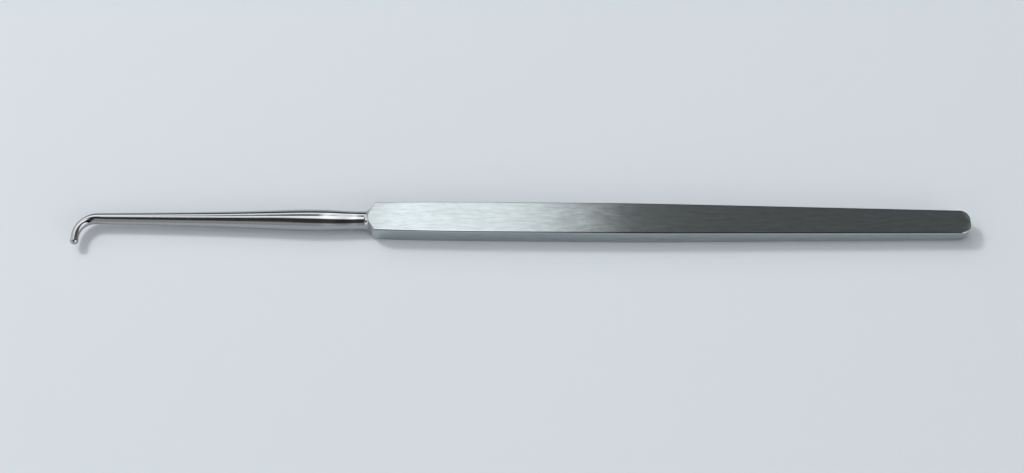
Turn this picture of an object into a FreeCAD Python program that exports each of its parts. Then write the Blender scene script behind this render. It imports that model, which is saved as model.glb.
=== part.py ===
import FreeCAD, Part
import Sketcher
import math
import os

# Nerve hook: a flat handle, a turned shoulder and neck, a swelling tapered shaft and a right-angled,
# ball-ended hook, ground from one bar of stainless steel.
#
# The instrument lies flat. +X runs along it towards the rear end of the handle, the hook points along -Y
# and +Z is up. The origin is on the underside, on the centre line, at the station where the turned
# shoulder has opened to the handle's full width.

# Driving sizes, in millimetres and degrees. Stations are distances along the instrument from the origin.
SIZES = {
    # flat handle
    "HandleLength": 122.6,
    "ShoulderWidth": 6.42,
    "WidestWidth": 7.0,
    "RiseRun": 24.0,
    "WidestStation": 50.6,
    "WidestBlend": 6.0,
    "EndWidth": 5.21,
    "HandleThickness": 4.5,
    "EndThickness": 3.5,
    "ThinningStation": 50.6,
    "EndCornerRadius": 2.1,
    "EdgeRound": 0.3,
    # turned shoulder and neck
    "ShoulderAngle": 47.0,
    "ShoulderFillet": 1.3,
    "NeckDiameter": 3.82,
    "NeckStation": 3.0,
    "NeckBlend": 2.6,
    # swelling tapered shaft
    "SwellDiameter": 4.41,
    "SwellStation": 12.1,
    "SwellFrontBlend": 4.9,
    "SwellRearBlend": 7.3,
    "ShaftEndDiameter": 2.3,
    "ShaftEndSlope": 0.7,
    "ShaftEndBlend": 34.0,
    # hook
    "HookStation": 61.0,
    "HookBendRadius": 4.1,
    "HookLegLength": 0.35,
    "HookLegDiameter": 1.5,
    "TipBallDiameter": 1.72,
    "TipBlendRadius": 0.8,
}

doc = FreeCAD.newDocument("NerveHook")
sheet = doc.addObject("Spreadsheet::Sheet", "Sizes")
for row, (alias, size) in enumerate(SIZES.items(), start=1):
    sheet.set(f"A{row}", alias)
    sheet.set(f"B{row}", str(size))
    sheet.setAlias(f"B{row}", alias)
doc.recompute()

body = doc.addObject("PartDesign::Body", "nerve_hook")
body.Label = "nerve_hook"

# Places that several features share, worked out from the sizes.
MID_HEIGHT = "(Sizes.HandleThickness / 2)"
NECK_RADIUS = "(Sizes.NeckDiameter / 2)"
SWELL_RADIUS = "(Sizes.SwellDiameter / 2)"
SHAFT_END_RADIUS = "(Sizes.ShaftEndDiameter / 2)"
SHAFT_END = "(Sizes.HookStation - Sizes.HookBendRadius)"
LEG_RADIUS = "(Sizes.HookLegDiameter / 2)"
BALL_RADIUS = "(Sizes.TipBallDiameter / 2)"
BLEND_TO_BALL = f"({BALL_RADIUS} + Sizes.TipBlendRadius)"
BLEND_TO_AXIS = f"({LEG_RADIUS} + Sizes.TipBlendRadius)"
BLEND_RISE = f"sqrt({BLEND_TO_BALL} ^ 2 - {BLEND_TO_AXIS} ^ 2)"
LEG_END = "(Sizes.HookBendRadius + Sizes.HookLegLength)"
BALL_CENTRE = f"({LEG_END} + {BLEND_RISE})"
HOOK_REACH = f"({BALL_CENTRE} + {BALL_RADIUS})"


def value(expression):
    """The number that a formula of sheet sizes gives."""
    return float(sheet.evalExpression(expression))


def new_sketch(name, role, across="0", up="0", out="0"):
    """Sketch on an origin plane of the body, shifted across, up and out of that plane."""
    sketch = body.newObject("Sketcher::SketchObject", name)
    plane = next(item for item in body.Origin.OriginFeatures if item.Role == role)
    sketch.AttachmentSupport = [(plane, "")]
    sketch.MapMode = "FlatFace"
    sketch.setExpression("AttachmentOffset.Base.x", across)
    sketch.setExpression("AttachmentOffset.Base.y", up)
    sketch.setExpression("AttachmentOffset.Base.z", out)
    return sketch


def bind(sketch, name, constraint, expression):
    """Add a constraint under a name and drive it by a formula."""
    index = sketch.addConstraint(constraint)
    sketch.renameConstraint(index, name)
    sketch.setExpression(f"Constraints.{name}", expression)


def hold(sketch, name, element, end, place):
    """Hold one point of an element at two distances from the sketch's origin."""
    for kind, expression, axis in (("DistanceX", place[0], -2), ("DistanceY", place[1], -1)):
        distance = value(expression)
        if expression == "0":
            sketch.addConstraint(Sketcher.Constraint("PointOnObject", element, end, axis))
        elif distance > 0:
            rule = Sketcher.Constraint(kind, -1, 1, element, end, distance)
            bind(sketch, f"{name}_{kind[-1]}", rule, expression)
        else:
            rule = Sketcher.Constraint(kind, element, end, -1, 1, -distance)
            bind(sketch, f"{name}_{kind[-1]}", rule, f"-({expression})")


def vector(place):
    """A sketch point from its two formulas."""
    return FreeCAD.Vector(value(place[0]), value(place[1]), 0)


def add_line(sketch, start, end):
    """A straight stretch of an outline."""
    return sketch.addGeometry(Part.LineSegment(vector(start), vector(end)), False)


def add_curve(sketch, name, start, end, leave, arrive):
    """A gentle curve that leaves its start towards one point and reaches its end from another."""
    poles = [start, leave, arrive, end]
    handles = []
    for pole in poles:
        circle = Part.Circle(vector(pole), FreeCAD.Vector(0, 0, 1), 1.0)
        handles.append(sketch.addGeometry(circle, True))
    spline = Part.BSplineCurve([vector(pole) for pole in poles], None, None, False, 3, None, False)
    curve = sketch.addGeometry(spline, False)
    sketch.addConstraint(Sketcher.Constraint("Weight", handles[0], 1.0))
    for handle in handles[1:]:
        sketch.addConstraint(Sketcher.Constraint("Equal", handles[0], handle))
    for number, handle in enumerate(handles):
        kind = "InternalAlignment:Sketcher::BSplineControlPoint"
        sketch.addConstraint(Sketcher.Constraint(kind, handle, 3, curve, number))
    hold(sketch, f"{name}_leave", handles[1], 3, leave)
    hold(sketch, f"{name}_arrive", handles[2], 3, arrive)
    return curve


def add_arc(sketch, centre, radius, start, end):
    """A round stretch, anticlockwise from one of its ends to the other."""
    middle = vector(centre)
    circle = Part.Circle(middle, FreeCAD.Vector(0, 0, 1), value(radius))
    towards_start = vector(start) - middle
    towards_end = vector(end) - middle
    first = math.atan2(towards_start.y, towards_start.x)
    last = math.atan2(towards_end.y, towards_end.x)
    arc = sketch.addGeometry(Part.ArcOfCircle(circle, first, last), False)
    bind(sketch, f"radius{arc}", Sketcher.Constraint("Radius", arc, circle.Radius), radius)
    return arc


def close_outline(sketch, elements, corners, name="corner", backward=()):
    """Join the elements end to end and hold every corner at its place.

    An element that was drawn against the way round of the outline is listed as backward.
    """
    ends = [(2, 1) if element in backward else (1, 2) for element in elements]
    for number, (element, corner) in enumerate(zip(elements, corners)):
        before = elements[number - 1]
        joint = Sketcher.Constraint("Coincident", before, ends[number - 1][1], element, ends[number][0])
        sketch.addConstraint(joint)
        hold(sketch, f"{name}{number}", element, ends[number][0], corner)


def edges_where(feature, test):
    """Names of the edges of a feature whose middle passes a test."""
    names = []
    for number, edge in enumerate(feature.Shape.Edges, start=1):
        middle = edge.valueAt((edge.FirstParameter + edge.LastParameter) / 2)
        if test(edge, middle):
            names.append(f"Edge{number}")
    return names


def volume_of(feature):
    """Volume of a feature after a recompute."""
    doc.recompute()
    return feature.Shape.Volume


# Bar of the flat handle: widest near its middle, narrower towards the shoulder and the rear end. It
# starts at the neck, where the turning below cuts it down to the neck's diameter.
half_shoulder = "(Sizes.ShoulderWidth / 2)"
half_widest = "(Sizes.WidestWidth / 2)"
half_end = "(Sizes.EndWidth / 2)"
rise_third = "(Sizes.RiseRun / 3)"
rise_width = f"({half_shoulder} / 3 + {half_widest} * 2 / 3)"
fall_run = "(Sizes.HandleLength - Sizes.WidestStation - Sizes.WidestBlend)"
fall_width = f"({half_widest} - ({half_widest} - {half_end}) * 2 * Sizes.WidestBlend / {fall_run})"


def plan_points(mirror):
    """Corners and curve handles of one long side of the plan, from the neck to the rear end."""
    corners = [("-Sizes.NeckStation", mirror + half_shoulder),
               ("0", mirror + half_shoulder),
               ("Sizes.RiseRun", mirror + half_widest),
               ("Sizes.WidestStation", mirror + half_widest),
               ("Sizes.HandleLength", mirror + half_end)]
    rise = [(rise_third, mirror + rise_width),
            (f"2 * {rise_third}", mirror + half_widest)]
    fall = [("Sizes.WidestStation + Sizes.WidestBlend", mirror + half_widest),
            ("Sizes.WidestStation + 3 * Sizes.WidestBlend", mirror + fall_width)]
    return corners, rise, fall


plan = new_sketch("HandlePlan", "XY_Plane")
near, near_rise, near_fall = plan_points("-")
far, far_rise, far_fall = plan_points("")
plan_elements = [
    add_line(plan, near[0], near[1]),
    add_curve(plan, "near_rise", near[1], near[2], near_rise[0], near_rise[1]),
    add_line(plan, near[2], near[3]),
    add_curve(plan, "near_fall", near[3], near[4], near_fall[0], near_fall[1]),
    add_line(plan, near[4], far[4]),
    add_curve(plan, "far_fall", far[4], far[3], far_fall[1], far_fall[0]),
    add_line(plan, far[3], far[2]),
    add_curve(plan, "far_rise", far[2], far[1], far_rise[1], far_rise[0]),
    add_line(plan, far[1], far[0]),
    add_line(plan, far[0], near[0]),
]
close_outline(plan, plan_elements, near + far[::-1])

bar = body.newObject("PartDesign::Pad", "HandleBar")
bar.Profile = plan
bar.setExpression("Length", "Sizes.HandleThickness")
bar_volume = volume_of(bar)

# Both faces thin evenly towards the rear end: one wedge is cut from the top and one from the underside.
# The wedges run on past the end, as far again as the thinned stretch is long.
side_view = new_sketch("HandleThinning", "XZ_Plane")
thinned = "(Sizes.HandleThickness - Sizes.EndThickness)"
beyond = "(Sizes.HandleLength * 2 - Sizes.ThinningStation)"
for name, face, inner in (("top", "Sizes.HandleThickness", "Sizes.EndThickness"),
                          ("underside", "0", thinned)):
    wedge = [("Sizes.ThinningStation", face), (beyond, face), (beyond, inner)]
    lines = [add_line(side_view, wedge[number], wedge[(number + 1) % 3]) for number in range(3)]
    close_outline(side_view, lines, wedge, name)

thinning = body.newObject("PartDesign::Pocket", "ThinnedFaces")
thinning.Profile = side_view
thinning.Midplane = True
thinning.Type = "ThroughAll"
assert volume_of(thinning) < bar_volume, "the wedges cut nothing"

# The rear corners are rounded in plan.
def is_end_upright(edge, middle):
    """One of the two upright edges at the rear end."""
    along = edge.tangentAt(edge.FirstParameter)
    return abs(along.z) > 0.9 and middle.x > value("Sizes.HandleLength") - 0.001


end_corners = body.newObject("PartDesign::Fillet", "EndCorners")
end_corners.Base = (thinning, edges_where(thinning, is_end_upright))
end_corners.setExpression("Radius", "Sizes.EndCornerRadius")
doc.recompute()


# The rims of both broad faces are softened all round, apart from the raw front end that is turned away.
def is_face_rim(edge, middle):
    """An edge between a broad face and the wall that runs round the sides and the rear end."""
    broad = 0
    wall = 0
    for face in end_corners.Shape.ancestorsOfType(edge, Part.Face):
        normal = face.normalAt(*face.Surface.parameter(middle))
        if abs(normal.z) > 0.9:
            broad += 1
        elif normal.x > -0.9:
            wall += 1
    return broad == 1 and wall == 1


soft_edges = body.newObject("PartDesign::Fillet", "SoftEdges")
soft_edges.Base = (end_corners, edges_where(end_corners, is_face_rim))
soft_edges.setExpression("Radius", "Sizes.EdgeRound")
edged_volume = volume_of(soft_edges)

# The turned shoulder: a groove round the shaft's axis leaves the neck, its fillet and the cone that opens
# to the handle's full width. Its cut across the flat faces gives the handle its rounded nose.
groove_sketch = new_sketch("ShoulderProfile", "XZ_Plane", up=MID_HEIGHT)
cone_foot = f"(-({half_shoulder} - {NECK_RADIUS}) / tan(Sizes.ShoulderAngle))"
tangent = "(Sizes.ShoulderFillet * tan(Sizes.ShoulderAngle / 2))"
outside = "(Sizes.ShoulderWidth / 2 + Sizes.HandleThickness / 2)"
cone_end = f"({cone_foot} + ({outside} - {NECK_RADIUS}) / tan(Sizes.ShoulderAngle))"
groove_corners = [
    ("-Sizes.NeckStation", NECK_RADIUS),
    (f"{cone_foot} - {tangent}", NECK_RADIUS),
    (f"{cone_foot} + {tangent} * cos(Sizes.ShoulderAngle)",
     f"{NECK_RADIUS} + {tangent} * sin(Sizes.ShoulderAngle)"),
    (cone_end, outside),
    ("-Sizes.NeckStation", outside),
]
fillet_centre = (f"{cone_foot} - {tangent}", f"{NECK_RADIUS} + Sizes.ShoulderFillet")
groove_elements = [
    add_line(groove_sketch, groove_corners[0], groove_corners[1]),
    add_arc(groove_sketch, fillet_centre, "Sizes.ShoulderFillet", groove_corners[1], groove_corners[2]),
    add_line(groove_sketch, groove_corners[2], groove_corners[3]),
    add_line(groove_sketch, groove_corners[3], groove_corners[4]),
    add_line(groove_sketch, groove_corners[4], groove_corners[0]),
]
close_outline(groove_sketch, groove_elements, groove_corners)

shoulder = body.newObject("PartDesign::Groove", "TurnedShoulder")
shoulder.Profile = groove_sketch
shoulder.ReferenceAxis = (groove_sketch, ["H_Axis"])
shoulder.Angle = 360.0
assert volume_of(shoulder) < edged_volume, "the groove cuts nothing"

# The shaft: from the neck it swells to a little under the handle's thickness, then tapers to the hook.
shaft_sketch = new_sketch("ShaftProfile", "XZ_Plane", up=MID_HEIGHT)
shaft_corners = [
    ("-Sizes.NeckStation", "0"),
    ("-Sizes.NeckStation", NECK_RADIUS),
    ("-Sizes.SwellStation", SWELL_RADIUS),
    (f"-{SHAFT_END}", SHAFT_END_RADIUS),
    (f"-{SHAFT_END}", "0"),
]
shaft_elements = [
    add_line(shaft_sketch, shaft_corners[0], shaft_corners[1]),
    add_curve(shaft_sketch, "front", shaft_corners[1], shaft_corners[2],
              ("-Sizes.NeckStation - Sizes.NeckBlend", NECK_RADIUS),
              ("-Sizes.SwellStation + Sizes.SwellFrontBlend", SWELL_RADIUS)),
    add_curve(shaft_sketch, "rear", shaft_corners[2], shaft_corners[3],
              ("-Sizes.SwellStation - Sizes.SwellRearBlend", SWELL_RADIUS),
              (f"-{SHAFT_END} + Sizes.ShaftEndBlend",
               f"{SHAFT_END_RADIUS} + Sizes.ShaftEndBlend * tan(Sizes.ShaftEndSlope)")),
    add_line(shaft_sketch, shaft_corners[3], shaft_corners[4]),
    add_line(shaft_sketch, shaft_corners[4], shaft_corners[0]),
]
close_outline(shaft_sketch, shaft_elements, shaft_corners)

shaft = body.newObject("PartDesign::Revolution", "SwellingShaft")
shaft.Profile = shaft_sketch
shaft.ReferenceAxis = (shaft_sketch, ["H_Axis"])
shaft.Angle = 360.0
doc.recompute()

# The hook: a quarter bend and a short leg in the plane of the handle, thinning all the way to its ball.
path_sketch = new_sketch("HookPath", "XY_Plane", out=MID_HEIGHT)
bend_end = ("-Sizes.HookStation", "-Sizes.HookBendRadius")
bend_centre = (f"-{SHAFT_END}", "-Sizes.HookBendRadius")
bend_circle = Part.Circle(vector(bend_centre), FreeCAD.Vector(0, 0, 1), value("Sizes.HookBendRadius"))
bend = path_sketch.addGeometry(Part.ArcOfCircle(bend_circle, math.pi / 2, math.pi), False)
leg = add_line(path_sketch, bend_end, ("-Sizes.HookStation", f"-{LEG_END}"))
path_sketch.addConstraint(Sketcher.Constraint("Coincident", bend, 2, leg, 1))
hold(path_sketch, "start", bend, 1, (f"-{SHAFT_END}", "0"))
hold(path_sketch, "centre", bend, 3, bend_centre)
path_sketch.addConstraint(Sketcher.Constraint("Horizontal", bend, 3, bend, 2))
path_sketch.addConstraint(Sketcher.Constraint("Vertical", leg))
bind(path_sketch, "leg_end", Sketcher.Constraint("DistanceY", leg, 2, -1, 1, value(LEG_END)), LEG_END)

root_section = new_sketch("HookRoot", "YZ_Plane", up=MID_HEIGHT, out=f"-{SHAFT_END}")
circle = Part.Circle(FreeCAD.Vector(0, 0, 0), FreeCAD.Vector(0, 0, 1), value(SHAFT_END_RADIUS))
root = root_section.addGeometry(circle, False)
root_section.addConstraint(Sketcher.Constraint("Coincident", root, 3, -1, 1))
bind(root_section, "radius", Sketcher.Constraint("Radius", root, circle.Radius), SHAFT_END_RADIUS)

leg_section = new_sketch("HookLegEnd", "XZ_Plane", across="-Sizes.HookStation", up=MID_HEIGHT,
                         out=LEG_END)
circle = Part.Circle(FreeCAD.Vector(0, 0, 0), FreeCAD.Vector(0, 0, 1), value(LEG_RADIUS))
leg_end = leg_section.addGeometry(circle, False)
leg_section.addConstraint(Sketcher.Constraint("Coincident", leg_end, 3, -1, 1))
bind(leg_section, "radius", Sketcher.Constraint("Radius", leg_end, circle.Radius), LEG_RADIUS)
doc.recompute()

hook = body.newObject("PartDesign::AdditivePipe", "BentHook")
hook.Profile = root_section
hook.Spine = (path_sketch, [])
hook.Transformation = "Multisection"
hook.Sections = [(leg_section, [""])]
doc.recompute()

# The ball on the tip, turned about the leg's axis with a small hollow where the leg runs into it.
tip_sketch = new_sketch("TipProfile", "XY_Plane", across="-Sizes.HookStation", out=MID_HEIGHT)
blend_centre = (BLEND_TO_AXIS, f"-{LEG_END}")
ball_share = f"({BALL_RADIUS} / {BLEND_TO_BALL})"
tip_corners = [
    ("0", f"-{LEG_END}"),
    (LEG_RADIUS, f"-{LEG_END}"),
    (f"{BLEND_TO_AXIS} * {ball_share}", f"-({BALL_CENTRE} - {BLEND_RISE} * {ball_share})"),
    ("0", f"-{HOOK_REACH}"),
]
ball_arc = add_arc(tip_sketch, ("0", f"-{BALL_CENTRE}"), BALL_RADIUS, tip_corners[3], tip_corners[2])
tip_elements = [
    add_line(tip_sketch, tip_corners[0], tip_corners[1]),
    add_arc(tip_sketch, blend_centre, "Sizes.TipBlendRadius", tip_corners[1], tip_corners[2]),
    ball_arc,
    add_line(tip_sketch, tip_corners[3], tip_corners[0]),
]
close_outline(tip_sketch, tip_elements, tip_corners, backward=[ball_arc])

tip = body.newObject("PartDesign::Revolution", "TipBall")
tip.Profile = tip_sketch
tip.ReferenceAxis = (tip_sketch, ["V_Axis"])
tip.Angle = 360.0
doc.recompute()

for item in doc.Objects:
    if "Invalid" in item.State or "Error" in item.State:
        raise RuntimeError(f"{item.Name} failed: {item.State}")
solid = body.Shape
if solid.isNull() or not solid.isValid() or len(solid.Solids) != 1:
    raise RuntimeError("nerve_hook isn't one valid solid")
os.makedirs("parts", exist_ok=True)
solid.exportStep("parts/nerve_hook.step")
print(f"nerve_hook: {solid.Volume:.1f} cubic millimetres, {len(solid.Faces)} faces")
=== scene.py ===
import math

import bmesh
import bpy
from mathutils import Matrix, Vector


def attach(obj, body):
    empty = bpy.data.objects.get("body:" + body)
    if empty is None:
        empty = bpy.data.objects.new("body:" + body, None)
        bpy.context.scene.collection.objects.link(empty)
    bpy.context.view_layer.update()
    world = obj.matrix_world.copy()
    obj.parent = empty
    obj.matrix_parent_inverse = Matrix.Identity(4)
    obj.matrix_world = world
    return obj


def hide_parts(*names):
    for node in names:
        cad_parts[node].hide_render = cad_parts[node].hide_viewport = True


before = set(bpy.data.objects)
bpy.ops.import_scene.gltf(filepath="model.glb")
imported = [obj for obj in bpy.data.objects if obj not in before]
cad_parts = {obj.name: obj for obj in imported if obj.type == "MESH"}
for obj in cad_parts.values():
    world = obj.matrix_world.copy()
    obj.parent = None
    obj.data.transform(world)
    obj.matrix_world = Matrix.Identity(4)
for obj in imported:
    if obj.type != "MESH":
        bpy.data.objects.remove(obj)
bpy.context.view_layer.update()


# The flat handle is what stays flat of the one stainless steel bar that the instrument is ground from. It is
# widest near its middle, thinned on both broad faces towards the rear end, and softened along its rims.
# Its skin is a row of loops round the bar, from the shoulder to the rounded rear end.
MM = 0.001
AXIS_HEIGHT = 2.25 * MM
HANDLE_LENGTH = 122.6 * MM
SHOULDER_HALF_WIDTH = 3.21 * MM
WIDEST_HALF_WIDTH = 3.5 * MM
RISE_RUN = 24.0 * MM
WIDEST_STATION = 50.6 * MM
WIDEST_BLEND = 6.0 * MM
END_HALF_WIDTH = 2.605 * MM
HALF_THICKNESS = 2.25 * MM
END_HALF_THICKNESS = 1.75 * MM
THINNING_STATION = 50.6 * MM
END_CORNER_RADIUS = 2.1 * MM
RIM_RADIUS = 0.3 * MM
ACROSS_STEPS = 28
RIM_STEPS = 6
WALL_STEPS = 16
ROUND_STEPS = 2 * ACROSS_STEPS + 4 * RIM_STEPS + 2 * WALL_STEPS
FIRST_STATION = 0.9 * MM
RISE_STEPS = 34
FALL_STEPS = 70
CORNER_STEPS = 14


def on_curve(points, share):
    """Point at a share of a curve that leaves its first point towards the second and ends from the third."""
    rest = 1 - share
    weights = (rest ** 3, 3 * rest ** 2 * share, 3 * rest * share ** 2, share ** 3)
    return tuple(sum(w * p[axis] for w, p in zip(weights, points)) for axis in (0, 1))


def half_thickness(station):
    """Half the bar's thickness at a distance along it."""
    run = max(0.0, station - THINNING_STATION) / (HANDLE_LENGTH - THINNING_STATION)
    return HALF_THICKNESS + run * (END_HALF_THICKNESS - HALF_THICKNESS)


def rise_half_width(station):
    """Half width of the bar between the shoulder and its widest place."""
    between = SHOULDER_HALF_WIDTH / 3 + WIDEST_HALF_WIDTH * 2 / 3
    half_widths = (SHOULDER_HALF_WIDTH, between, WIDEST_HALF_WIDTH, WIDEST_HALF_WIDTH)
    share = min(1.0, max(0.0, station) / RISE_RUN)
    return on_curve([(0.0, half_width) for half_width in half_widths], share)[1]


def rim_column(station, half_width, lean, side):
    """Points down the wall at one place of the outline, from the upper rim to the lower one.

    lean is the outward direction along and across the bar, and side is 1 far and -1 near.
    """
    column = []
    for step in range(RIM_STEPS + 1):
        turn = math.pi / 2 * step / RIM_STEPS
        inset = RIM_RADIUS * (1 - math.sin(turn))
        place = station - inset * lean[0]
        height = half_thickness(place) - RIM_RADIUS * (1 - math.cos(turn))
        column.append((place, side * (half_width - inset * lean[1]), height))
    upper = list(column)
    wall = half_thickness(station) - RIM_RADIUS
    for step in range(1, WALL_STEPS):
        column.append((station, side * half_width, wall * (1 - 2 * step / WALL_STEPS)))
    column += [(x, y, -z) for x, y, z in reversed(upper)]
    return [Vector((x, y, AXIS_HEIGHT + z)) for x, y, z in column]


def bar_loop(station, half_width, lean=(0.0, 1.0)):
    """Loop of points round the bar: across the top, down the near wall, back below, up the far wall."""
    far = rim_column(station, half_width, lean, 1)
    near = rim_column(station, half_width, lean, -1)
    top = [far[0].lerp(near[0], step / ACROSS_STEPS) for step in range(1, ACROSS_STEPS)]
    below = [near[-1].lerp(far[-1], step / ACROSS_STEPS) for step in range(1, ACROSS_STEPS)]
    return [far[0]] + top + near + below + list(reversed(far))[:-1]


def handle_loops():
    """Loops of the handle behind the shoulder, and the outline's last point at the rear end."""
    loops = []
    for step in range(RISE_STEPS):
        station = FIRST_STATION + (WIDEST_STATION - FIRST_STATION) * step / RISE_STEPS
        slope = (rise_half_width(station + MM) - rise_half_width(station)) / MM
        loops.append(bar_loop(station, rise_half_width(station), Vector((-slope, 1.0)).normalized()))
    run = HANDLE_LENGTH - WIDEST_STATION - WIDEST_BLEND
    fall = (WIDEST_HALF_WIDTH - END_HALF_WIDTH) * 2 * WIDEST_BLEND / run
    curve = [(WIDEST_STATION, WIDEST_HALF_WIDTH),
             (WIDEST_STATION + WIDEST_BLEND, WIDEST_HALF_WIDTH),
             (WIDEST_STATION + 3 * WIDEST_BLEND, WIDEST_HALF_WIDTH - fall),
             (HANDLE_LENGTH, END_HALF_WIDTH)]
    slope = (curve[3][1] - curve[2][1]) / (curve[3][0] - curve[2][0])
    outward = Vector((-slope, 1.0)).normalized()
    corner_x = HANDLE_LENGTH - END_CORNER_RADIUS
    corner_y = END_HALF_WIDTH - slope * END_CORNER_RADIUS - END_CORNER_RADIUS / outward.y
    before = None
    for step in range(FALL_STEPS + 1):
        station, width = on_curve(curve, step / FALL_STEPS)
        if station > corner_x:
            break
        ahead = on_curve(curve, min(1.0, (step + 0.5) / FALL_STEPS))
        side = Vector((width - ahead[1], ahead[0] - station)).normalized()
        loops.append(bar_loop(station, width, side))
        before = station
    start = math.atan2(outward.y, outward.x)
    for step in range(CORNER_STEPS + 1):
        turn = start * (1 - step / CORNER_STEPS)
        lean = (math.cos(turn), math.sin(turn))
        station = corner_x + END_CORNER_RADIUS * lean[0]
        if station > before:
            loops.append(bar_loop(station, corner_y + END_CORNER_RADIUS * lean[1], lean))
    return loops, corner_y


# The shoulder is turned on the same steel bar: a cone opens from the neck to the bar's full width, with a
# fillet at its foot. Where the cone leaves the bar's flat faces it draws the rounded nose of the handle.
SHOULDER_ANGLE = math.radians(47.0)
EDGE_EASE = 0.12 * MM
SHOULDER_FILLET = 1.3 * MM
NECK_RADIUS = 1.91 * MM
NECK_STATION = -3.0 * MM
CONE_FOOT = -(SHOULDER_HALF_WIDTH - NECK_RADIUS) / math.tan(SHOULDER_ANGLE)
FILLET_TANGENT = SHOULDER_FILLET * math.tan(SHOULDER_ANGLE / 2)
FILLET_START = CONE_FOOT - FILLET_TANGENT
FILLET_ARC = SHOULDER_FILLET * SHOULDER_ANGLE
EDGE_PASSES = 4
CONE_STEPS = 14


def turned_point(run):
    """Station and radius of the shoulder's profile at a length of run from the fillet's start."""
    if run < FILLET_ARC:
        turn = run / SHOULDER_FILLET
        return (FILLET_START + SHOULDER_FILLET * math.sin(turn),
                NECK_RADIUS + SHOULDER_FILLET * (1 - math.cos(turn)))
    along = run - FILLET_ARC + FILLET_TANGENT
    return (CONE_FOOT + along * math.cos(SHOULDER_ANGLE),
            NECK_RADIUS + along * math.sin(SHOULDER_ANGLE))


def run_to_radius(radius):
    """Length along the shoulder's profile at which it reaches a radius."""
    rise = radius - NECK_RADIUS
    turn = math.acos(max(-1.0, 1 - rise / SHOULDER_FILLET))
    if turn <= SHOULDER_ANGLE:
        return turn * SHOULDER_FILLET
    return rise / math.sin(SHOULDER_ANGLE) - FILLET_TANGENT + FILLET_ARC


def shoulder_loops():
    """Loops of the cone, from the fillet's start to the edge where it leaves the bar, and their angles.

    The edge's station and the bar's width there depend on each other, so a few passes settle both.
    """
    station = [0.0] * ROUND_STEPS
    for _ in range(EDGE_PASSES):
        edge = []
        runs = []
        for index in range(ROUND_STEPS):
            point = bar_loop(station[index], rise_half_width(station[index]))[index]
            radius = math.hypot(point.y, point.z - AXIS_HEIGHT)
            runs.append(run_to_radius(radius))
            station[index] = turned_point(runs[index])[0]
            edge.append(Vector((station[index], point.y, point.z)))
    angles = [math.atan2(point.z - AXIS_HEIGHT, point.y) for point in edge]
    loops = []
    for step in range(CONE_STEPS):
        ring = []
        for run, angle in zip(runs, angles):
            x, radius = turned_point(run * step / CONE_STEPS)
            ring.append(Vector((x, radius * math.cos(angle), AXIS_HEIGHT + radius * math.sin(angle))))
        loops.append(ring)
    loops.append(edge)
    behind = [place + EDGE_EASE for place in station]
    loops.append([bar_loop(place, rise_half_width(place))[index] for index, place in enumerate(behind)])
    return loops, angles


# The shaft is turned round on the same steel bar: it swells beyond the neck to a little under the handle's
# thickness, and tapers in one long gentle curve to the hook.
SWELL_RADIUS = 2.205 * MM
SWELL_STATION = -12.1 * MM
SHAFT_END_RADIUS = 1.15 * MM
SHAFT_END_STATION = -56.9 * MM
SWELL_CURVE = [(NECK_STATION, NECK_RADIUS),
               (NECK_STATION - 2.6 * MM, NECK_RADIUS),
               (SWELL_STATION + 4.9 * MM, SWELL_RADIUS),
               (SWELL_STATION, SWELL_RADIUS)]
SHAFT_END_REACH = 34.0 * MM
SHAFT_END_SLOPE = math.tan(math.radians(0.7))
TAPER_CURVE = [(SWELL_STATION, SWELL_RADIUS),
              (SWELL_STATION - 7.3 * MM, SWELL_RADIUS),
              (SHAFT_END_STATION + SHAFT_END_REACH, SHAFT_END_RADIUS + SHAFT_END_REACH * SHAFT_END_SLOPE),
              (SHAFT_END_STATION, SHAFT_END_RADIUS)]
SWELL_STEPS = 30
TAPER_STEPS = 90


def even_angle(index):
    """Angle of an evenly spaced point round the shaft, counted like the loops of the bar."""
    return math.pi / 2 + (index - ACROSS_STEPS / 2) * 2 * math.pi / ROUND_STEPS


def shaft_loops(shoulder_angles):
    """Rings of the shaft from the hook up to the neck, turning from even spacing to the shoulder's."""
    profile = [on_curve(TAPER_CURVE, step / TAPER_STEPS) for step in range(TAPER_STEPS, 0, -1)]
    profile += [on_curve(SWELL_CURVE, step / SWELL_STEPS) for step in range(SWELL_STEPS, -1, -1)]
    loops = []
    for station, radius in profile:
        share = max(0.0, (station - SWELL_STATION) / (NECK_STATION - SWELL_STATION))
        share = share * share * (3 - 2 * share)
        ring = []
        for index, corner_angle in enumerate(shoulder_angles):
            even = even_angle(index)
            turn = (corner_angle - even + math.pi) % (2 * math.pi) - math.pi
            angle = even + share * turn
            ring.append(Vector((station, radius * math.cos(angle), AXIS_HEIGHT + radius * math.sin(angle))))
        loops.append(ring)
    return loops


# The hook is the shaft's own end, bent through a right angle in the plane of the handle. It thins evenly
# along the bend and the short leg, and ends in a small ball with a slight hollow before it.
HOOK_STATION = -61.0 * MM
BEND_RADIUS = 4.1 * MM
LEG_LENGTH = 0.35 * MM
LEG_RADIUS = 0.75 * MM
BALL_RADIUS = 0.86 * MM
HOLLOW_RADIUS = 0.8 * MM
HOLLOW_RISE = math.sqrt((BALL_RADIUS + HOLLOW_RADIUS) ** 2 - (LEG_RADIUS + HOLLOW_RADIUS) ** 2)
LEG_END = BEND_RADIUS + LEG_LENGTH
BALL_CENTRE = LEG_END + HOLLOW_RISE
BALL_STEPS = 22
HOLLOW_STEPS = 6
LEG_STEPS = 6
BEND_STEPS = 40


def hook_ring(centre, outward, radius):
    """Ring of points about a place on the hook's centre line."""
    ring = []
    for index in range(ROUND_STEPS):
        angle = even_angle(index)
        ring.append(centre + radius * (math.cos(angle) * outward + math.sin(angle) * Vector((0, 0, 1))))
    return ring


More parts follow.
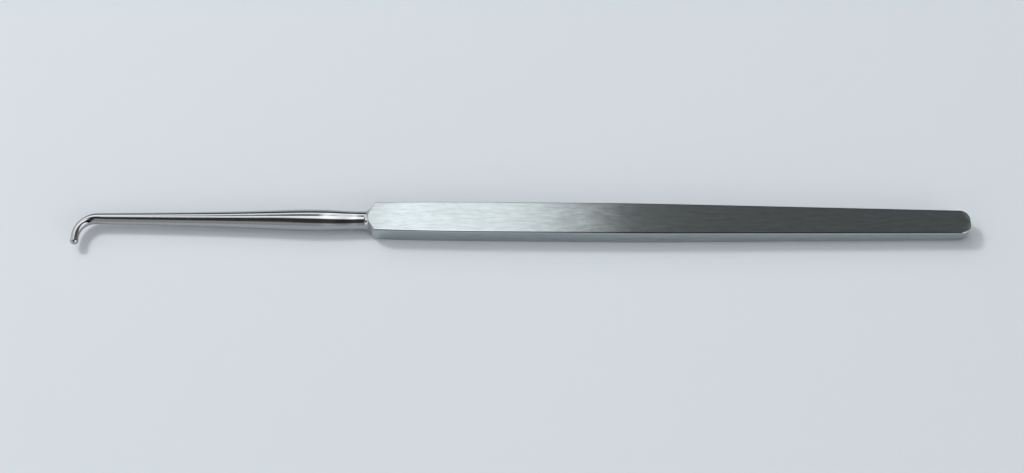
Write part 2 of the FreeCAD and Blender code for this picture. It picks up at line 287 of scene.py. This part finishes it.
def hook_loops():
    """Rings from the ball's end, up the leg and round the bend, to just before the shaft's first ring."""
    leftward = Vector((-1, 0, 0))
    hollow_turn = math.asin(HOLLOW_RISE / (BALL_RADIUS + HOLLOW_RADIUS))
    places = []
    for step in range(1, BALL_STEPS + 1):
        turn = -math.pi / 2 + (math.pi / 2 + hollow_turn) * step / BALL_STEPS
        places.append((BALL_CENTRE - BALL_RADIUS * math.sin(turn), BALL_RADIUS * math.cos(turn)))
    for step in range(1, HOLLOW_STEPS + 1):
        turn = hollow_turn * (1 - step / HOLLOW_STEPS)
        radius = LEG_RADIUS + HOLLOW_RADIUS * (1 - math.cos(turn))
        places.append((LEG_END + HOLLOW_RADIUS * math.sin(turn), radius))
    path_length = LEG_LENGTH + BEND_RADIUS * math.pi / 2
    thinning = (SHAFT_END_RADIUS - LEG_RADIUS) / path_length
    for step in range(1, LEG_STEPS + 1):
        back = LEG_LENGTH * step / LEG_STEPS
        places.append((LEG_END - back, LEG_RADIUS + thinning * back))
    loops = [hook_ring(Vector((HOOK_STATION, -reach, AXIS_HEIGHT)), leftward, radius)
             for reach, radius in places]
    bend_centre = Vector((HOOK_STATION + BEND_RADIUS, -BEND_RADIUS, AXIS_HEIGHT))
    for step in range(1, BEND_STEPS):
        turn = math.pi / 2 * (1 - step / BEND_STEPS)
        outward = Vector((-math.sin(turn), math.cos(turn), 0))
        radius = SHAFT_END_RADIUS - thinning * BEND_RADIUS * turn
        loops.append(hook_ring(bend_centre + BEND_RADIUS * outward, outward, radius))
    return loops


# The two finishes. The shoulder, shaft, hook and rims are polished bright. The handle is brushed along its
# length to a fine satin, whose grooves spread light sideways and leave fine streaks and faint blotches.
SATIN_COLOUR = (0.425, 0.475, 0.488)
POLISHED_COLOUR = (0.39, 0.405, 0.42)
NOISE_LOW = 0.3
NOISE_HIGH = 0.7


def steel_nodes(name, colour):
    """A bare steel material and its node tree."""
    material = bpy.data.materials.new(name)
    material.use_nodes = True
    tree = material.node_tree
    shader = tree.nodes["Principled BSDF"]
    shader.inputs["Base Color"].default_value = (*colour, 1.0)
    shader.inputs["Metallic"].default_value = 1.0
    return material, tree, shader


def maths(tree, operation, *sources):
    """One arithmetic step on links or numbers."""
    node = tree.nodes.new("ShaderNodeMath")
    node.operation = operation
    for socket, source in zip(node.inputs, sources):
        if isinstance(source, (int, float)):
            socket.default_value = source
        else:
            tree.links.new(source, socket)
    return node.outputs["Value"]


def stretched_noise(tree, scale, detail, roughness=0.5):
    """Noise in the object's own coordinates, with its own scale along each axis, per metre."""
    place = tree.nodes.new("ShaderNodeTexCoord")
    mapping = tree.nodes.new("ShaderNodeMapping")
    mapping.inputs["Scale"].default_value = scale
    noise = tree.nodes.new("ShaderNodeTexNoise")
    noise.inputs["Scale"].default_value = 1.0
    noise.inputs["Detail"].default_value = detail
    noise.inputs["Roughness"].default_value = roughness
    tree.links.new(place.outputs["Object"], mapping.inputs["Vector"])
    tree.links.new(mapping.outputs["Vector"], noise.inputs["Vector"])
    return noise.outputs["Fac"]


def ranged(tree, source, low, high):
    """A noise's usual range, stretched to run between two values."""
    node = tree.nodes.new("ShaderNodeMapRange")
    node.inputs["From Min"].default_value = NOISE_LOW
    node.inputs["From Max"].default_value = NOISE_HIGH
    node.inputs["To Min"].default_value = low
    node.inputs["To Max"].default_value = high
    tree.links.new(source, node.inputs["Value"])
    return node.outputs["Result"]


def bumped(tree, heights):
    """A chain of bumps, each a noise, its depth in metres and its strength."""
    normal = None
    for source, depth, strength in heights:
        bump = tree.nodes.new("ShaderNodeBump")
        bump.inputs["Distance"].default_value = depth
        bump.inputs["Strength"].default_value = strength
        tree.links.new(source, bump.inputs["Height"])
        if normal is not None:
            tree.links.new(normal, bump.inputs["Normal"])
        normal = bump.outputs["Normal"]
    return normal


def satin_steel():
    """Steel brushed along the handle, which spreads its highlights across the brushing."""
    material, tree, shader = steel_nodes("satin_steel", SATIN_COLOUR)
    shader.inputs["Anisotropic"].default_value = 0.95
    shader.inputs["Anisotropic Rotation"].default_value = 0.25
    waves = stretched_noise(tree, (150, 800, 800), 2.0)
    scratches = stretched_noise(tree, (60, 5200, 5200), 2.0)
    grain = stretched_noise(tree, (700, 8000, 8000), 2.0)
    cloud = stretched_noise(tree, (300, 700, 700), 3.0)
    tree.links.new(ranged(tree, cloud, 0.19, 0.24), shader.inputs["Roughness"])
    blotches = stretched_noise(tree, (380, 1300, 1300), 3.0, 0.6)
    brushing = stretched_noise(tree, (260, 5200, 5200), 3.0, 0.65)
    mottle = maths(tree, "MULTIPLY", ranged(tree, blotches, 0.94, 1.06), ranged(tree, brushing, 0.91, 1.09))
    shade = tree.nodes.new("ShaderNodeVectorMath")
    shade.operation = "SCALE"
    shade.inputs[0].default_value = SATIN_COLOUR
    tree.links.new(mottle, shade.inputs["Scale"])
    tree.links.new(shade.outputs["Vector"], shader.inputs["Base Color"])
    tangent = tree.nodes.new("ShaderNodeTangent")
    tangent.direction_type = "UV_MAP"
    tangent.uv_map = "along"
    tree.links.new(tangent.outputs["Tangent"], shader.inputs["Tangent"])
    normal = bumped(tree, [(waves, 0.000024, 1.0), (scratches, 0.0000015, 1.0), (grain, 0.000001, 1.0)])
    tree.links.new(normal, shader.inputs["Normal"])
    return material


def polished_steel():
    """Steel polished bright, with the faintest waviness."""
    material, tree, shader = steel_nodes("polished_steel", POLISHED_COLOUR)
    haze = stretched_noise(tree, (500, 900, 900), 2.0)
    tree.links.new(ranged(tree, haze, 0.07, 0.11), shader.inputs["Roughness"])
    lines = stretched_noise(tree, (120, 2600, 2600), 2.0)
    normal = bumped(tree, [(lines, 0.000002, 0.2)])
    tree.links.new(normal, shader.inputs["Normal"])
    return material


# The whole instrument is one piece of steel, so its parts are joined into one closed skin. It stands for
# the solid at the same size, with a finer surface, and the polishing has eased the shoulder's edge.
def close_rear(mesh, last, corner_y, uv_layer):
    """The rear end's wall between the last loop's far and near columns."""
    columns = []
    column_length = 2 * RIM_STEPS + WALL_STEPS
    for step in range(ACROSS_STEPS + 1):
        upper = last[step]
        if step == 0:
            column = [upper] + [last[-number] for number in range(1, column_length + 1)]
        elif step == ACROSS_STEPS:
            column = last[ACROSS_STEPS:ACROSS_STEPS + column_length + 1]
        else:
            across = corner_y * (1 - 2 * step / ACROSS_STEPS)
            points = rim_column(HANDLE_LENGTH, abs(across), (1.0, 0.0), math.copysign(1, across))
            lower = last[2 * ACROSS_STEPS + column_length - step]
            column = [upper] + [mesh.verts.new(point) for point in points[1:-1]] + [lower]
        columns.append(column)
    for left, right in zip(columns, columns[1:]):
        for row in range(column_length):
            corners = (left[row], right[row], right[row + 1], left[row + 1])
            face = mesh.faces.new(corners)
            face.material_index = int(RIM_STEPS <= row < RIM_STEPS + WALL_STEPS)
            for corner in face.loops:
                height = corner.vert.co.z
                corner[uv_layer].uv = (height / HANDLE_LENGTH, corner.vert.co.y / HANDLE_LENGTH)


def on_rim(index):
    """Whether a face of the round lies on one of the bar's four softened rims, which are polished."""
    place = index % (ROUND_STEPS // 2) - ACROSS_STEPS
    return 0 <= place < RIM_STEPS or place >= RIM_STEPS + WALL_STEPS


def instrument_skin():
    """The closed skin of the whole instrument."""
    cone, angles = shoulder_loops()
    handle, corner_y = handle_loops()
    loops = hook_loops() + shaft_loops(angles)
    loops += cone
    edge_index = len(loops) - 2
    loops += handle
    mesh = bmesh.new()
    uv_layer = mesh.loops.layers.uv.new("along")
    ease_layer = mesh.edges.layers.float.new("bevel_weight_edge")
    rings = [[mesh.verts.new(point) for point in loop] for loop in loops]
    for number, (ring, following) in enumerate(zip(rings, rings[1:])):
        for index in range(ROUND_STEPS):
            after = (index + 1) % ROUND_STEPS
            face = mesh.faces.new((ring[index], ring[after], following[after], following[index]))
            face.material_index = int(number >= edge_index and not on_rim(index))
            shares = (index, index + 1, index + 1, index)
            for corner, share in zip(face.loops, shares):
                corner[uv_layer].uv = (corner.vert.co.x / HANDLE_LENGTH, share / ROUND_STEPS)
    tip = mesh.verts.new(Vector((HOOK_STATION, -BALL_CENTRE - BALL_RADIUS, AXIS_HEIGHT)))
    for index in range(ROUND_STEPS):
        mesh.faces.new((rings[0][index], rings[0][(index + 1) % ROUND_STEPS], tip))
    close_rear(mesh, rings[-1], corner_y, uv_layer)
    for index in range(ROUND_STEPS):
        edge = mesh.edges.get((rings[edge_index][index], rings[edge_index][(index + 1) % ROUND_STEPS]))
        edge[ease_layer] = 1.0
    bmesh.ops.recalc_face_normals(mesh, faces=mesh.faces)
    for face in mesh.faces:
        face.smooth = True
    data = bpy.data.meshes.new("nerve_hook_skin")
    mesh.to_mesh(data)
    mesh.free()
    return data


skin = bpy.data.objects.new("nerve_hook_skin", instrument_skin())
bpy.context.scene.collection.objects.link(skin)
skin.data.materials.append(polished_steel())
skin.data.materials.append(satin_steel())
ease = skin.modifiers.new("eased_shoulder", "BEVEL")
ease.limit_method = "WEIGHT"
ease.width = EDGE_EASE / 2
ease.segments = 2
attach(skin, "root")
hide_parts("nerve_hook")


# The table is a plain matt sheet in a pale cool grey. It is much larger than the instrument, so that its
# far edge stays out of sight from low down.
TABLE_COLOUR = (0.712, 0.763, 0.807)
TABLE_HALF = 6.0
table_mesh = bpy.data.meshes.new("table")
table_mesh.from_pydata([(-TABLE_HALF, -TABLE_HALF, 0), (TABLE_HALF, -TABLE_HALF, 0),
                        (TABLE_HALF, TABLE_HALF, 0), (-TABLE_HALF, TABLE_HALF, 0)], [], [(0, 1, 2, 3)])
table = bpy.data.objects.new("table", table_mesh)
bpy.context.scene.collection.objects.link(table)
table_material = bpy.data.materials.new("pale_table")
table_material.use_nodes = True
table_shader = table_material.node_tree.nodes["Principled BSDF"]
table_shader.inputs["Base Color"].default_value = (*TABLE_COLOUR, 1.0)
table_shader.inputs["Roughness"].default_value = 0.9
table_shader.inputs["Specular IOR Level"].default_value = 0.2
table_mesh.materials.append(table_material)


# The studio is one soft lamp behind and to the left, which throws the shadow, and a room for the steel to
# mirror, with screens parallel to the instrument between two side arches. Angles run over the instrument
# (0 behind it, 90 overhead, 180 in front) and places along it (-1 to the left, 1 to the right).
SCREENS_BY_ANGLE = [(-180, 0.48), (-176, 0.48), (-3, 0.06), (25, 0.05), (31, 1.7), (43, 1.6),
                    (66, 1.95), (91, 1.95), (98, 0.06), (142, 0.06), (150, 0.48), (180, 0.48)]
SCREENS_BY_PLACE = [(-1.0, 1.0), (-0.095, 1.0), (-0.08, 1.5), (-0.06, 1.44), (-0.03, 1.16), (-0.01, 0.93),
                    (0.0, 0.86), (0.02, 0.66), (0.036, 0.47), (0.060, 0.08), (0.30, 0.07), (1.0, 0.07)]
SLANT_BY_ANGLE = [(-180, 0), (50, 0), (70, 1), (180, 1)]
SLANT_BY_PLACE = [(-1.0, 40), (-0.30, 40), (-0.25, 24), (-0.21, 16), (-0.16, 12), (-0.055, 8), (-0.03, 6),
                  (1.0, 6)]
SLANT_ZERO = 12.0
GAP_BY_ANGLE = [(-180, 0.0), (45, 0.0), (49, 0.96), (67, 0.96), (71, 0.0), (180, 0.0)]
GAP_BY_PLACE = [(-1.0, 0.0), (-0.27, 0.0), (-0.225, 1.0), (-0.11, 1.0), (-0.09, 0.25), (-0.07, 0.25),
                (-0.055, 0.6), (-0.035, 0.6), (-0.015, 0.0), (1.0, 0.0)]
LEFT_ARCH_BY_ANGLE = [(-180, 0.5), (-3, 0.3), (20, 0.9), (60, 1.0), (68, 1.6), (106, 1.6), (116, 0.06),
                      (134, 0.06), (142, 1.3), (172, 1.3), (180, 0.5)]
LEFT_ARCH_BY_PLACE = [(-1.0, 1.0), (-0.60, 1.0), (-0.42, 0.0), (1.0, 0.0)]
RIGHT_ARCH_BY_ANGLE = [(-180, 0.5), (0, 0.2), (70, 0.16), (110, 0.16), (122, 1.7), (170, 1.7), (180, 0.5)]
RIGHT_ARCH_BY_PLACE = [(-1.0, 0.0), (0.30, 0.0), (0.42, 1.0), (1.0, 1.0)]
ROOM_STRENGTH = 1.06
LAMP_SIZE = 0.21
LAMP_POWER = 4.9
LAMP_DISTANCE = 1.2
LAMP_AIM = Vector((0.03, 0.0, 0.0))
LAMP_SIDE = Vector((-0.8, 0.51, 1.0)).normalized()


def levels(tree, source, low, high, stops):
    """Grey levels along a value that runs from low to high. None of them can be below zero."""
    place = maths(tree, "MULTIPLY_ADD", source, 1 / (high - low), -low / (high - low))
    node = tree.nodes.new("ShaderNodeValToRGB")
    elements = node.color_ramp.elements
    while len(elements) < len(stops):
        elements.new(1.0)
    for element, (value, grey) in zip(elements, stops):
        element.position = (value - low) / (high - low)
        element.color = (grey, grey, grey, 1.0)
    tree.links.new(place, node.inputs["Fac"])
    return node.outputs["Color"]


def by_angle(stops):
    """Grey levels of the room by the angle over the instrument."""
    return levels(room, across_degrees, -180, 180, stops)


def by_place(stops):
    """Grey levels of the room by the place along the instrument."""
    return levels(room, along, -1, 1, stops)


world = bpy.data.worlds.new("studio")
bpy.context.scene.world = world
world.use_nodes = True
room = world.node_tree
direction = room.nodes.new("ShaderNodeTexCoord")
parts = room.nodes.new("ShaderNodeSeparateXYZ")
room.links.new(direction.outputs["Generated"], parts.inputs["Vector"])
along = parts.outputs["X"]
across_angle = maths(room, "ARCTAN2", parts.outputs["Z"], parts.outputs["Y"])
across_degrees = maths(room, "MULTIPLY", across_angle, 180 / math.pi)
slant = maths(room, "SUBTRACT", by_place(SLANT_BY_PLACE), SLANT_ZERO)
slanted_degrees = maths(room, "MULTIPLY_ADD", slant, by_angle(SLANT_BY_ANGLE), across_degrees)
screens = levels(room, slanted_degrees, -180, 180, SCREENS_BY_ANGLE)
fall = by_place(SCREENS_BY_PLACE)
gap = maths(room, "MULTIPLY", by_angle(GAP_BY_ANGLE), by_place(GAP_BY_PLACE))
open_share = maths(room, "SUBTRACT", 1.0, gap)
shown = maths(room, "MULTIPLY", maths(room, "MULTIPLY", screens, open_share), fall)
for arch_by_angle, arch_by_place in ((LEFT_ARCH_BY_ANGLE, LEFT_ARCH_BY_PLACE),
                                     (RIGHT_ARCH_BY_ANGLE, RIGHT_ARCH_BY_PLACE)):
    arch_light = by_angle(arch_by_angle)
    arch_share = by_place(arch_by_place)
    shown = maths(room, "MULTIPLY_ADD", maths(room, "SUBTRACT", arch_light, shown), arch_share, shown)
background = room.nodes["Background"]
background.inputs["Color"].default_value = (1.0, 1.0, 1.0, 1.0)
room.links.new(maths(room, "MULTIPLY", shown, ROOM_STRENGTH), background.inputs["Strength"])

lamp_data = bpy.data.lights.new("window_lamp", "AREA")
lamp_data.shape = "DISK"
lamp_data.size = LAMP_SIZE
lamp_data.energy = LAMP_POWER
lamp = bpy.data.objects.new("window_lamp", lamp_data)
bpy.context.scene.collection.objects.link(lamp)
lamp.visible_glossy = False
lamp.location = LAMP_AIM + LAMP_SIDE * LAMP_DISTANCE
lamp.rotation_euler = (-LAMP_SIDE).to_track_quat("-Z", "Y").to_euler()


# The camera stands in front of the table and looks steeply down at the handle, from the place and with the
# lens that were fitted to the photograph.
CAMERA_TARGET = Vector((0.02862, -0.003365, 0.00225))
CAMERA_DISTANCE = 0.32067
CAMERA_ELEVATION = math.radians(63.707)
CAMERA_AZIMUTH = math.radians(0.499)
CAMERA_LENS = 55.0
camera_data = bpy.data.cameras.new("camera")
camera_data.lens = CAMERA_LENS
camera_data.sensor_width = 36.0
camera_data.clip_start = 0.01
camera_data.clip_end = 10.0
camera = bpy.data.objects.new("camera", camera_data)
bpy.context.scene.collection.objects.link(camera)
camera_back = Vector((math.sin(CAMERA_AZIMUTH) * math.cos(CAMERA_ELEVATION),
                      -math.cos(CAMERA_AZIMUTH) * math.cos(CAMERA_ELEVATION),
                      math.sin(CAMERA_ELEVATION)))
camera.location = CAMERA_TARGET + CAMERA_DISTANCE * camera_back
camera.rotation_euler = (-camera_back).to_track_quat("-Z", "Y").to_euler()
bpy.context.scene.camera = camera
bpy.context.scene.view_settings.view_transform = "Standard"
